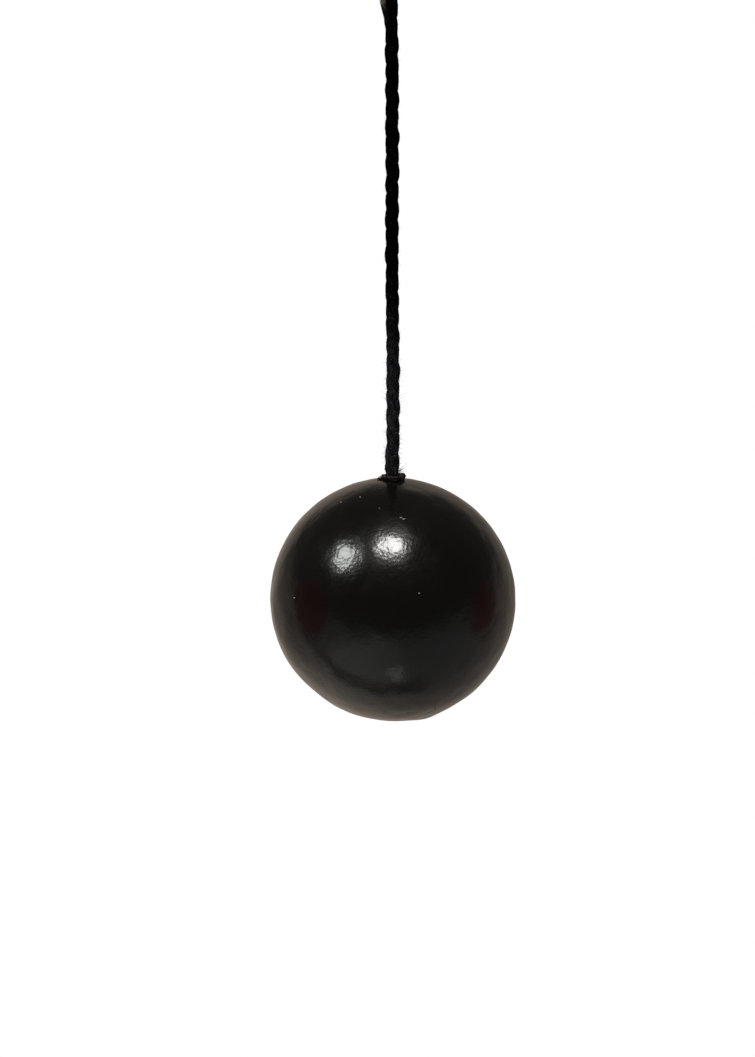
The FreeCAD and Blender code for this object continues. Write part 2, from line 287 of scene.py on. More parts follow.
def dyed_cotton(cord, name="dyed_cotton_yarn"):
    """Black dyed cotton yarn, laid and lightly waxed: matt, with painted glints in its colour, grey
    streaks along each yarn and grey flecks. The glints thicken towards the ball as painted light,
    and at the knot and the loop, where the cord has been rubbed."""
    material, tree = new_material(name)
    coordinates = add_node(tree, "TexCoord")
    stretched = add_node(
        tree, "Mapping", {"Vector": coordinates.outputs["UV"], "Scale": (7.0, 0.8, 1.0)})
    fibre = add_node(
        tree, "TexNoise", {"Vector": stretched, "Scale": 1.0, "Detail": 3.0, "Roughness": 0.65})
    patch = add_node(
        tree, "TexNoise", {"Vector": coordinates.outputs["Object"], "Scale": 600.0, "Detail": 2.0})
    height = add_node(tree, "SeparateXYZ", {"Vector": coordinates.outputs["Object"]})
    near_ball = add_node(
        tree, "MapRange",
        {"Value": height.outputs["Z"], "From Min": BALL_TOP + 12 * MM, "From Max": BALL_TOP + 50 * MM,
         "To Min": 1.0, "To Max": 0.0},
        interpolation_type="SMOOTHSTEP")
    near_knot = add_node(
        tree, "MapRange",
        {"Value": height.outputs["Z"], "From Min": KNOT_LOW.z - 10 * MM, "From Max": KNOT_LOW.z,
         "To Max": 0.7},
        interpolation_type="SMOOTHSTEP")
    # Painted light: the grey grows towards the ball, standing in for the light that falls on the cord's
    # lower end; at the knot and the loop it is wear. The specular level follows the same mask.
    painted_light_and_wear = add_node(tree, "Math", {0: near_ball, 1: near_knot}, operation="MAXIMUM")
    # Painted glints: grey streaks along the yarns and grey flecks, put in the colour.
    painted_glint_streak = add_node(
        tree, "MapRange",
        {"Value": fibre.outputs["Fac"], "From Min": 0.46, "From Max": 0.66, "To Min": 0.0,
         "To Max": 1.35})
    painted_glint_fleck = add_node(
        tree, "TexNoise", {"Vector": coordinates.outputs["Object"], "Scale": 2400.0, "Detail": 1.0})
    painted_glint_fleck = add_node(
        tree, "MapRange",
        {"Value": painted_glint_fleck.outputs["Fac"], "From Min": 0.63, "From Max": 0.76, "To Max": 2.4})
    painted_fleck_strength = add_node(tree, "Math", {0: painted_light_and_wear, 1: 0.5, 2: 0.25}, operation="MULTIPLY_ADD")
    painted_glint_fleck = add_node(tree, "Math", {0: painted_glint_fleck, 1: painted_fleck_strength}, operation="MULTIPLY")
    share = add_node(tree, "Math", {0: painted_glint_streak, 1: painted_light_and_wear, 2: painted_glint_fleck}, operation="MULTIPLY_ADD")
    share = add_node(tree, "Math", {0: share, 1: patch.outputs["Fac"]}, operation="MULTIPLY")
    sheen = add_node(tree, "Math", {0: painted_light_and_wear, 1: 0.07}, operation="MULTIPLY")
    tint = add_node(
        tree, "Mix", {"Factor": share, "A": linear(cord.colour), "B": linear(cord.glint_and_wear_colour)},
        data_type="RGBA")
    bump = add_node(
        tree, "Bump", {"Height": fibre.outputs["Fac"], "Strength": 1.0, "Distance": 0.10 * MM})
    shader = add_node(
        tree, "BsdfPrincipled",
        {"Base Color": tint.outputs["Result"], "Roughness": 0.62, "IOR": 1.5,
         "Specular IOR Level": sheen, "Normal": bump})
    add_node(tree, "OutputMaterial", {"Surface": shader})
    return material


def turned_beech(ball, name, pith):
    """Beech, turned and sanded: fine straight grain, with the short dark flecks of its rays."""
    material, tree = new_material(name)
    place = add_node(
        tree, "Mapping",
        {"Vector": add_node(tree, "TexCoord").outputs["Object"], "Location": pith,
         "Rotation": (math.radians(84), math.radians(11), 0)})
    rings = add_node(
        tree, "TexWave",
        {"Vector": place, "Scale": 1 / (3.2 * MM) / 6.28, "Distortion": 2.5, "Detail": 3.0,
         "Detail Scale": 1.4},
        wave_type="RINGS", rings_direction="Z")
    long_grain = add_node(tree, "Mapping", {"Vector": place, "Scale": (1.0, 1.0, 0.06)})
    fleck = add_node(tree, "TexNoise", {"Vector": long_grain, "Scale": 1 / (0.5 * MM), "Detail": 2.0})
    dark = add_node(
        tree, "MapRange",
        {"Value": fleck.outputs["Fac"], "From Min": 0.5, "From Max": 0.72, "To Max": 0.6})
    tint = add_node(
        tree, "Mix",
        {"Factor": rings.outputs["Fac"], "A": linear(ball.wood_colour), "B": linear("A97F52")},
        data_type="RGBA")
    tint = add_node(
        tree, "Mix", {"Factor": dark, "A": tint.outputs["Result"], "B": linear("7C5735")},
        data_type="RGBA")
    bump = add_node(
        tree, "Bump", {"Height": fleck.outputs["Fac"], "Strength": 0.4, "Distance": 0.05 * MM})
    shader = add_node(
        tree, "BsdfPrincipled",
        {"Base Color": tint.outputs["Result"], "Roughness": 0.5, "IOR": 1.5, "Normal": bump})
    add_node(tree, "OutputMaterial", {"Surface": shader})
    return material


def new_piece(name, points, faces, material, uv=None):
    """A mesh object from an (n, 3) array of points in metres and an (m, 4) array of faces."""
    mesh = bpy.data.meshes.new(name)
    mesh.from_pydata(points.tolist(), [], faces.tolist() if hasattr(faces, "tolist") else faces)
    mesh.polygons.foreach_set("use_smooth", np.ones(len(mesh.polygons), bool))
    if uv is not None:
        layer = mesh.uv_layers.new(name="along_yarn")
        corner = np.empty(len(mesh.loops), np.int32)
        mesh.loops.foreach_get("vertex_index", corner)
        layer.data.foreach_set("uv", uv[corner].astype(np.float32).ravel())
    mesh.update()
    piece = bpy.data.objects.new(name, mesh)
    bpy.context.scene.collection.objects.link(piece)
    mesh.materials.append(material)
    return piece


def grid_faces(rows, columns, close_rows=False):
    """Quads between rows of points, each row a ring closed on itself."""
    row = np.arange(rows if close_rows else rows - 1)[:, None]
    column = np.arange(columns)[None, :]
    after, over = (row + 1) % rows, (column + 1) % columns
    corners = [row * columns + column, row * columns + over, after * columns + over,
               after * columns + column]
    return np.stack(np.broadcast_arrays(*corners), -1).reshape(-1, 4)


def fan(start, columns, pole, turned=False):
    """Triangles from a pole to each side of a ring of points, in the ring's order or turned over. The
    ring is given by the number of its first point."""
    around = start + np.arange(columns)
    over = start + (np.arange(columns) + 1) % columns
    sides = (over, around) if turned else (around, over)
    return np.stack([*sides, np.full(columns, pole)], 1).tolist()


def with_caps(points, faces, rows, columns):
    """Closes the first and last ring of a tube with a fan to its middle. Returns points, faces."""
    rings = points.reshape(rows, columns, 3)
    middles = np.stack([rings[0].mean(0), rings[-1].mean(0)])
    caps = fan(0, columns, rows * columns, turned=True)
    caps += fan((rows - 1) * columns, columns, rows * columns + 1)
    return np.concatenate([points, middles]), faces.tolist() + caps


def unit(vectors):
    """Vectors divided by their lengths."""
    return vectors / np.maximum(np.linalg.norm(vectors, axis=-1, keepdims=True), 1e-12)


def spline_points(name, route, spacing):
    """Points an even spacing apart on the smooth NURBS spline that a route's points control."""
    curve = bpy.data.curves.new(name, "CURVE")
    curve.dimensions = "3D"
    curve.resolution_u = 48
    spline = curve.splines.new("NURBS")
    spline.points.add(len(route) - 1)
    spline.points.foreach_set("co", [v for point in route for v in (*(c * MM for c in point), 1.0)])
    spline.order_u = 3
    spline.use_endpoint_u = True
    carrier = bpy.data.objects.new(name, curve)
    mesh = bpy.data.meshes.new_from_object(carrier)
    line = np.empty(len(mesh.vertices) * 3)
    mesh.vertices.foreach_get("co", line)
    line = line.reshape(-1, 3)
    bpy.data.meshes.remove(mesh)
    bpy.data.objects.remove(carrier)
    bpy.data.curves.remove(curve)
    steps = np.linalg.norm(np.diff(line, axis=0), axis=1)
    along = np.concatenate([[0], np.cumsum(steps)])
    at = np.linspace(0, along[-1], max(2, round(along[-1] / spacing)))
    return np.stack([np.interp(at, along, line[:, axis]) for axis in range(3)], 1)


def carried_frames(line):
    """The tangent and two square directions at each point of a line. The first direction is carried
    from point to point with no twist, by taking away what lies along each next tangent."""
    tangent = unit(np.gradient(line, axis=0))
    side = np.empty_like(line)
    start = np.eye(3)[np.argmin(np.abs(tangent[0]))]
    for index, heading in enumerate(tangent):
        start = start - heading * (start @ heading)
        start = start / np.linalg.norm(start)
        side[index] = start
    return tangent, side, np.cross(tangent, side)


STATION = 0.24 * MM  # between the rings of a strand
STRAND_SIDES = 38
SLACK_HEIGHT = BALL_TOP + 3.3 * MM  # where one strand bulges on the left
SLACK_REACH = 1.3 * MM  # up and down from there
FUZZY_HEIGHT = BALL_TOP + 28 * MM  # the cord is more worn below this


def lengths_along(line):
    """The length along a line at each of its points."""
    return np.concatenate([[0], np.cumsum(np.linalg.norm(np.diff(line, axis=0), axis=1))])


def strand_lines(cord, line):
    """Three lines wound round a line: strand k is at angle -2 pi (length / lay) + 2 pi k / 3, and
    nearer the middle than round strands would lie, because they press flat on each other. The lay
    runs down to the right (S lay). Slow uneven waves push each strand in and out, and the strand that
    comes to the left just above the ball is slack, with a bulge of Gaussian shape."""
    _, side, other = carried_frames(line)
    along = lengths_along(line)[:, None]
    turn = -2 * math.pi * along / cord.lay_length
    wound = []
    for k in range(3):
        slow = 0.10 * np.sin(turn * 0.37 + 2.1 * k) + 0.08 * np.sin(turn * 1.31 + 1.3 * k)
        angle = turn + 2 * math.pi * k / 3 + slow
        uneven = 1 + 0.20 * np.sin(along / (3.1 * MM) + 1.9 * k) + 0.10 * np.sin(along / (1.1 * MM) + k)
        reach = cord.strand_reach * uneven
        out = np.cos(angle) * side + np.sin(angle) * other
        bulge = np.exp(-((line[:, 2:] - SLACK_HEIGHT) / SLACK_REACH) ** 2)
        slack = cord.slack * bulge * np.clip(-out[:, :1], 0, 1) ** 2
        wound.append(line + (reach + slack) * out)
    return wound


def strand_skin(cord, line, k, low, high):
    """One strand between two stations of a line: a tube whose radius dips by the yarn depth at each
    groove, where the grooves wind round it against the lay. Returns points, faces and UV."""
    wound = strand_lines(cord, line)[k]
    _, side, other = carried_frames(wound)
    along = lengths_along(wound)[:, None]
    around = (np.arange(STRAND_SIDES) * 2 * math.pi / STRAND_SIDES)[None, :]
    yarn_angle = around - 2 * math.pi * along / cord.yarn_lay
    ridge = np.abs(np.sin(cord.yarns * yarn_angle / 2 + 0.35 * np.sin(along / (5.3 * MM) + k)))
    slub = 0.022 * np.sin(along / (2.9 * MM) + 2.4 * k) + 0.020 * np.sin(along / (0.47 * MM) + k)
    radius = cord.strand_radius * (1 + slub) - cord.yarn_depth * (1 - ridge) ** 1.5
    cut = slice(low, high)
    across_ring = np.cos(around)[..., None] * side[cut, None]
    ring = across_ring + np.sin(around)[..., None] * other[cut, None]
    points = (wound[cut, None] + radius[cut, :, None] * ring).reshape(-1, 3)
    rows = high - low
    points, faces = with_caps(points, grid_faces(rows, STRAND_SIDES), rows, STRAND_SIDES)
    across = (yarn_angle[low:high] * cord.strand_radius / MM).reshape(-1)
    down = np.repeat(along[low:high, 0] / MM, STRAND_SIDES)
    ends = np.array([[0, along[low, 0] / MM], [0, along[high - 1, 0] / MM]])
    return points, faces, np.concatenate([np.stack([across, down], 1), ends])


def rope_piece(cord, name, line, low, high, material):
    """The three strands between two stations of a line, as one piece."""
    points, faces, uv = [], [], []
    for k in range(3):
        skin = strand_skin(cord, line, k, low, high)
        start = sum(len(part) for part in points)
        points.append(skin[0])
        faces += [[start + corner for corner in face] for face in skin[1]]
        uv.append(skin[2])
    return new_piece(name, np.concatenate(points), faces, material, np.concatenate(uv))


def fibre_piece(name, roots, headings, curls, radii, material):
    """Loose fibres as thin three-sided tubes: a fibre's line is root + t heading + t^2 curl, for t
    from 0 to 1, and it narrows to a third of its radius at its end."""
    stations, sides = 5, 3
    t = np.linspace(0, 1, stations)[None, :, None]
    line = roots[:, None] + t * headings[:, None] + t**2 * curls[:, None]
    tangent = unit(headings[:, None] + 2 * t * curls[:, None])
    spare = np.where(np.abs(tangent[..., 2:]) > 0.8, np.array([1.0, 0, 0]), np.array([0, 0, 1.0]))
    side = unit(np.cross(tangent, spare))
    other = np.cross(tangent, side)
    angle = (np.arange(sides) * 2 * math.pi / sides)[None, None, :, None]
    thin = radii[:, None, None, None] * (1 - 0.67 * t[..., None])
    ring = np.cos(angle) * side[:, :, None] + np.sin(angle) * other[:, :, None]
    points = (line[:, :, None] + thin * ring).reshape(-1, 3)
    body = grid_faces(stations, sides)
    offset = (np.arange(len(roots)) * stations * sides)[:, None, None]
    faces = (body[None] + offset).reshape(-1, 4).tolist()
    base = np.arange(len(roots)) * stations * sides
    top = base + (stations - 1) * sides
    faces += np.stack([base + 2, base + 1, base], 1).tolist()
    faces += np.stack([top, top + 1, top + 2], 1).tolist()
    across = np.tile(np.arange(sides), len(roots) * stations)
    down = np.repeat(np.tile(np.arange(stations), len(roots)), sides)
    return new_piece(name, points, faces, material, np.stack([across, down], 1) * 0.3)


def fuzz_on(cord, name, line, low, high, density, material, seed, longest=1.5 * MM):
    """Fibre ends standing off the cord between two stations of a line, as a frayed cord has."""
    draw = np.random.default_rng(seed)
    count = max(3, round((high - low) * STATION / MM * density))
    wound = strand_lines(cord, line)
    which = draw.integers(low, high, count)
    strand = draw.integers(0, 3, count)
    stacked = np.stack(wound)
    centre = stacked[strand, which]
    heading = unit(np.gradient(stacked, axis=1))[strand, which]
    outward = unit(centre - line[which])
    sideways = np.cross(outward, heading)
    swing = draw.uniform(-1.2, 1.2, count)[:, None]
    out = np.cos(swing) * outward + np.sin(swing) * sideways
    size = longest * (0.22 + 0.78 * draw.uniform(0, 1.0, count)[:, None] ** 3.2)
    lean = draw.normal(0, 1, (count, 3))
    headings = size * unit(out * 0.9 + 0.9 * heading * draw.choice([-1, 1], count)[:, None] + 0.3 * lean)
    curls = size * 0.5 * unit(draw.normal(0, 1, (count, 3)) + 0.3 * out)
    roots = centre + out * cord.strand_radius * 0.93
    radii = draw.uniform(0.014, 0.034, count) * MM
    return fibre_piece(name, roots, headings, curls, radii, material)


def station_at(line, height):
    """The first station of a rising line that is at or above a height."""
    return int(np.argmax(line[:, 2] >= height))


def make_cord(cord):
    """The free cord in three pieces on one line, cut where no joint bends it: the root at the mouth
    of the bore, the middle, and the neck under the loop knot."""
    material = dyed_cotton(cord)
    line = spline_points("cord_route", CORD_ROUTE, STATION)
    tilt, swing = JOINT_HEIGHT["ball_tilt"], JOINT_HEIGHT["swing_sideways"]
    root_top, neck_bottom = tilt + 3.2 * MM, swing - 4.2 * MM
    cuts = [0, station_at(line, root_top), station_at(line, neck_bottom), len(line) - 1]
    root = rope_piece(cord, "cord_root", line, cuts[0], cuts[1] + 1, material)
    middle = rope_piece(cord, "hanging_cord", line, cuts[1], cuts[2] + 1, material)
    neck = rope_piece(cord, "cord_neck", line, cuts[2], cuts[3] + 1, material)
    root_fuzz = fuzz_on(
        cord, "root_fibres", line, station_at(line, BALL_TOP), cuts[1], cord.fibres * 1.2, material,
        cord.seed)
    low_fuzz = fuzz_on(
        cord, "lower_fibres", line, cuts[1], station_at(line, FUZZY_HEIGHT), cord.fibres, material,
        cord.seed + 1)
    high_fuzz = fuzz_on(
        cord, "upper_fibres", line, station_at(line, FUZZY_HEIGHT), cuts[2], cord.fibres * 0.8,
        material, cord.seed + 2, 0.8 * MM)
    tuft = make_tuft(cord, line, material)
    spur = make_spur(cord)
    for piece in (root, root_fuzz, tuft):
        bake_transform(piece)
    for piece in (middle, low_fuzz, high_fuzz, spur):
        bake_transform(piece)
    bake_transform(neck)
    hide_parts("upper_cord", "lower_cord")
    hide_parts("cord_in_bore")
    stopper = make_stopper(cord, material)


def make_tuft(cord, line, material):
    """A tuft of broken fibres on the right of the cord, just above the glue rim."""
    draw = np.random.default_rng(cord.seed + 5)
    count = 34
    middle = line[station_at(line, BALL_TOP + 2 * MM), 0]
    root = np.array([middle + 1.2 * MM, -0.7 * MM, BALL_TOP + 1.6 * MM])
    roots = root + draw.normal(0, 0.3, (count, 3)) * MM
    size = draw.uniform(0.8, 1.9, count)[:, None] * MM
    headings = size * unit(np.array([0.75, -0.2, 0.25]) + draw.normal(0, 0.45, (count, 3)))
    curls = size * 0.5 * unit(draw.normal(0, 1, (count, 3)))
    radii = draw.uniform(0.022, 0.05, count) * MM
    return fibre_piece("root_tuft", roots, headings, curls, radii, material)


def make_spur(cord):
    """A broken yarn that stands off the left of the cord: a bundle of fibres, thick at its root,
    that splay towards their ends, where the dye has faded."""
    draw = np.random.default_rng(cord.seed + 6)
    count = 190
    root, tip = np.array([-1.1, -0.6, -67.4]) * MM, np.array([-3.7, -0.9, -57.2]) * MM
    roots = root + draw.normal(0, 0.16, (count, 3)) * MM
    share = draw.uniform(0.55, 1.0, count)[:, None]
    fan = draw.normal(0, 0.2, (count, 3)) * MM * share**2
    fan[:, 0] += draw.uniform(0, 1.9, count) * MM * share[:, 0] ** 3
    bow = np.array([-0.12, 0, 0]) * MM
    headings = (tip - root) * share + fan + bow
    radii = draw.uniform(0.05, 0.09, count) * MM
    return fibre_piece("broken_yarn", roots, headings, np.tile(-bow, (count, 1)), radii, faded_cotton())


def faded_cotton():
    """The broken yarn's cotton: black at its root and bleached to a brownish grey at its tip."""
    material, tree = new_material("faded_cotton_yarn")
    coordinates = add_node(tree, "TexCoord")
    height = add_node(tree, "SeparateXYZ", {0: coordinates.outputs["UV"]})
    mottle = add_node(tree, "TexNoise", {"Vector": coordinates.outputs["Object"], "Scale": 1800.0})
    reach = add_node(
        tree, "Math", {0: mottle.outputs["Fac"], 1: 0.5, 2: height.outputs["Y"]},
        operation="MULTIPLY_ADD")
    faded = add_node(tree, "MapRange", {"Value": reach, "From Min": 1.0, "From Max": 1.5})
    tint = add_node(
        tree, "Mix", {"Factor": faded, "A": linear("050506"), "B": linear("8C8174")}, data_type="RGBA")
    shader = add_node(
        tree, "BsdfPrincipled",
        {"Base Color": tint.outputs["Result"], "Roughness": 0.7, "Specular IOR Level": 0.15})
    add_node(tree, "OutputMaterial", {"Surface": shader})
    return material


def make_stopper(cord, material):
    """The overhand knot in the pocket, with the cord's short end below it."""
    lift = STOPPER_MIDDLE / MM
    line = spline_points("stopper_route", [(x, y, z + lift) for x, y, z in STOPPER_ROUTE], STATION)
    knot = rope_piece(cord, "stopper_knot_tied", line, 0, len(line), material)
    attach(knot, "ball")
    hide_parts("stopper_knot", "stopper_tail")
    return knot


def knot_wraps(cord):
    """The wraps of the loop knot: a helix rising round the knot, in millimetres, 12 points a turn."""
    turn = np.arange(cord.wraps * 12 + 1) / 12
    angle = 2 * math.pi * turn + math.radians(45)
    half = (cord.wraps * 0.9 * cord.diameter / MM) / 2
    height = KNOT_MIDDLE / MM - half + 2 * half * turn / cord.wraps
    radius = 4.35 + 0.12 * np.sin(2.7 * turn)
    return list(zip(radius * np.cos(angle), radius * np.sin(angle) * 0.97, height))


def make_loop(cord):
    """The loop, and the knot that closes it: the cord's end wraps its own standing part and comes
    back down through the wraps. One line carries both, cut at the top of the knot."""
    material = dyed_cotton(cord, "dyed_cotton_yarn_loop")
    route = KNOT_STANDING + LOOP_ROUTE + KNOT_LEG + knot_wraps(cord) + KNOT_END
    line = spline_points("loop_route", route, STATION)
    top = int(np.argmax(line[:, 2]))
    cut = top + int(np.argmax(line[top:, 2] < KNOT_HIGH.z - 2 * MM))
    loop = rope_piece(cord, "hanging_loop_laid", line, 0, cut + 1, material)
    knot = rope_piece(cord, "loop_knot_tied", line, cut, len(line), material)
    loop_fuzz = fuzz_on(
        cord, "loop_fibres", line, 60, cut, cord.fibres * 0.6, material, cord.seed + 3, 0.7 * MM)
    knot_fuzz = fuzz_on(
        cord, "knot_fibres", line, cut, len(line) - 1, cord.fibres * 0.6, material, cord.seed + 4,
        0.7 * MM)
    end = make_end_tuft(cord, line, material)
    for piece in (loop, loop_fuzz):
        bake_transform(piece)
    for piece in (knot, knot_fuzz, end):
        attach(piece, "knot")
    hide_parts("hanging_loop")
    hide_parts("loop_knot", "loop_tail")


def make_end_tuft(cord, line, material):
    """The cut end below the loop knot, whose strands have opened into a brush of yarns."""
    draw = np.random.default_rng(cord.seed + 8)
    count = 130
    heading = unit(line[-1] - line[-6])
    spread = draw.normal(0, 0.75, (count, 3)) * MM
    spread -= (spread @ heading)[:, None] * heading
    roots = line[-1] - heading * 0.6 * MM + spread
    headings = heading * draw.uniform(1.2, 2.6, count)[:, None] * MM + spread * 0.25
    curls = spread * 0.45 + draw.normal(0, 0.2, (count, 3)) * MM
    radii = draw.uniform(0.03, 0.07, count) * MM
    return fibre_piece("end_brush", roots, headings, curls, radii, material)


def smooth_profile(corners, count):
    """A closed profile through corners, as Catmull-Rom spans: each span is a cubic of its four
    nearest corners, read at even steps."""
    corners = np.array(corners)
    steps = np.linspace(0, 1, count, endpoint=False)[:, None]
    spans = []
    for index in range(len(corners)):
        a, b, c, d = (corners[(index + shift) % len(corners)] for shift in (-1, 0, 1, 2))
        spans.append(
            0.5 * (2 * b + (c - a) * steps + (2 * a - 5 * b + 4 * c - d) * steps**2
                   + (3 * b - a - 3 * c + d) * steps**3))
    return np.concatenate(spans)


def make_collar(ball):
    """The glue rim: a closed profile carried round the cord, with its foot on the ball. Its lip's
    reach and height are the rim's own, plus a sum of waves round it, a long tip on the left and a
    corner turned up on the right."""
    columns = 220
    angle = np.arange(columns) * 2 * math.pi / columns
    reach, rise = ball.collar_radius / MM, ball.collar_height / MM
    bore = BORE_RADIUS / MM
    # radius, height over the ball's top, and how far the radius and the height of each corner follow
    # the lip's raggedness
    corners = [
        (1.3, -4.2, 0.0, 0.0), (bore - 0.03, -4.2, 0.0, 0.0), (bore - 0.03, -0.7, 0.0, 0.0),
        (bore + 0.3, -0.35, 0.0, 0.0), (reach - 0.5, -0.25, 0.8, 0.0), (reach - 0.22, 0.02, 0.95, 0.0),
        (reach, rise * 0.66, 1.0, 1.0), (reach - 0.12, rise * 0.88, 1.0, 1.0),
        (reach - 0.5, rise * 0.62, 0.6, 0.6), (bore + 0.1, rise * 0.2, 0.2, 0.2),
        (1.72, rise * 0.05, 0.1, 0.1), (1.35, 0.0, 0.0, 0.0),
    ]
    profile = smooth_profile(corners, 5)
    draw = np.random.default_rng(ball.seed + 2)
    waves = sum(
        draw.normal(0, 0.16 / math.sqrt(n)) * np.sin(n * angle + draw.uniform(0, 6.28))
        for n in range(3, 26, 2))
    left_tip = 1.35 * np.exp(-((angle - math.radians(185)) / math.radians(8)) ** 2)
    left_bite = 0.5 * np.exp(-((angle - math.radians(180)) / math.radians(52)) ** 2)
    right_corner = np.exp(-((angle - math.radians(332)) / math.radians(24)) ** 4)
    waves *= 1 - 0.75 * np.exp(-(np.minimum(angle, 2 * math.pi - angle) / math.radians(28)) ** 2)
    follow, lift = profile[:, 2][:, None], profile[:, 3][:, None]
    radius = profile[:, 0][:, None] + follow * (waves + left_tip - left_bite - 0.30 * right_corner)[None]
    height = profile[:, 1][:, None] + lift * (0.45 * waves + 0.72 * right_corner - 0.48 * left_tip)[None]
    sag = BALL_RADIUS / MM - np.sqrt((BALL_RADIUS / MM) ** 2 - radius**2)
    height = height - np.where(follow > 0.05, sag, 0)
    shift = 0.08
    points = np.stack([radius * np.cos(angle) + shift * follow, radius * np.sin(angle), height], -1)
    points = points.reshape(-1, 3) * MM + np.array([0, 0, BALL_TOP])
    faces = grid_faces(len(profile), columns, close_rows=True)
    collar = new_piece("glue_rim_ragged", points, faces, dried_glue(ball))
    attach(collar, "ball")
    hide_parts("glue_collar")
    return collar


# Where the ball is out of round: angle in the XZ plane from +X in degrees, height in millimetres and
# width in degrees of a soft swelling or flat place.
FORM_FAULTS = [
    (66, -0.26, 30), (78, -0.26, 9), (238, -0.24, 26), (228, -0.16, 9), (286, 0.42, 6.5),
    (158, 0.06, 40), (350, 0.08, 30), (262, -0.1, 10),
]


def out_of_round(direction):
    """How far the enamel stands off a true sphere, in metres, at each direction: soft swellings and
    flats of Gaussian shape, as hand sanding and a run of enamel leave them."""
    depth = np.zeros(len(direction))
    for angle, height, width in FORM_FAULTS:
        towards = np.array([math.cos(math.radians(angle)), -0.12, math.sin(math.radians(angle))])
        off = np.arccos(np.clip(direction @ unit(towards), -1, 1))
        depth += height * MM * np.exp(-((off / math.radians(width)) ** 2))
    return np.clip(depth, -0.4 * MM, 0.45 * MM)


def enamel_waves(ball, direction):
    """Waves in the enamel: a sum of sines of random wave vectors, 3 to 9 mm long, scaled to depth."""
    draw = np.random.default_rng(ball.seed)
    count = 48
    vectors = unit(draw.normal(0, 1, (count, 3))) * (2 * math.pi / draw.uniform(3.0, 9.0, count))[:, None]
    phase = draw.uniform(0, 2 * math.pi, count)
    place = direction * BALL_RADIUS / MM
    total = np.zeros(len(direction))
    for vector, start in zip(vectors, phase):
        total += np.sin(place @ vector + start)
    return ball.wave_depth * total / math.sqrt(count / 2)


def directions(polar, turn):
    """Unit vectors at every pairing of a polar angle from +Z with a turn from +X."""
    level, around = np.meshgrid(polar, turn, indexing="ij")
    flat = np.sin(level)
    return np.stack([flat * np.cos(around), flat * np.sin(around), np.cos(level)], -1).reshape(-1, 3)


def make_enamel(ball):
    """The enamel skin, a closed shell: the outside is a sphere by polar angle and turn, from the
    mouth of the bore to the bottom, plus its waves and faults, and the inside lies on the core."""
    rows, inner_rows, columns = 196, 14, 430
    mouth = math.asin(BORE_RADIUS / BALL_RADIUS)
    turn = np.arange(columns) * 2 * math.pi / columns
    polar = np.linspace(mouth, math.pi, rows + 1)[:-1]
    inner_radius = math.hypot(CORE_HIGH[2] - BALL_CENTRE.z, BORE_RADIUS) + 0.02 * MM
    inner_mouth = math.asin(BORE_RADIUS / inner_radius)
    inner_polar = np.linspace(inner_mouth, math.pi, inner_rows + 1)[:-1]
    outward = directions(polar, turn)
    stand_off = out_of_round(outward) + enamel_waves(ball, outward)
    edge = np.clip((np.repeat(polar, columns) - mouth) / math.radians(1.5), 0, 1)
    outside = outward * (BALL_RADIUS + stand_off * edge)[:, None]
    inside = directions(inner_polar, turn) * inner_radius
    down = np.array([[0.0, 0.0, -1.0]])
    low = BALL_RADIUS + float((out_of_round(down) + enamel_waves(ball, down))[0])
    bottom = np.array([[0, 0, -low], [0, 0, -inner_radius]])
    points = np.concatenate([outside, inside, bottom]) + np.array(BALL_CENTRE)
    count = rows * columns
    around = np.arange(columns)
    over = (around + 1) % columns
    outer = grid_faces(rows, columns)[:, ::-1].tolist()
    inner = (grid_faces(inner_rows, columns) + count).tolist()
    lip = np.stack([around, over, count + over, count + around], 1).tolist()
    pole = count + inner_rows * columns
    caps = fan(count - columns, columns, pole, turned=True) + fan(pole - columns, columns, pole + 1)
    faces = outer + inner + lip + caps
    skin = new_piece("enamel_skin", points, faces, black_gloss_enamel(ball))
    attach(skin, "ball")
    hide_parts("enamel_coat")
    return skin


# Grains of dust that dried into the enamel, on the front: angle in the XZ plane, share of the
# radius from the middle, size in millimetres and how many times longer along X. More are scattered
# all over.
FRONT_GRAINS = [
    (98.5, 0.75, 0.17, 1.0), (16.0, 0.215, 0.19, 1.0), (178.7, 0.795, 0.2, 1.0),
    (107.7, 0.872, 0.17, 1.2), (118.2, 0.893, 0.17, 1.3), (277.5, 0.93, 0.15, 1.0),
    (82.6, 0.660, 0.15, 2.8), (84.6, 0.668, 0.15, 2.4), (291.4, 0.932, 0.17, 1.0),
    (290.9, 0.950, 0.15, 1.0), (259.0, 0.86, 0.12, 4.0),
]


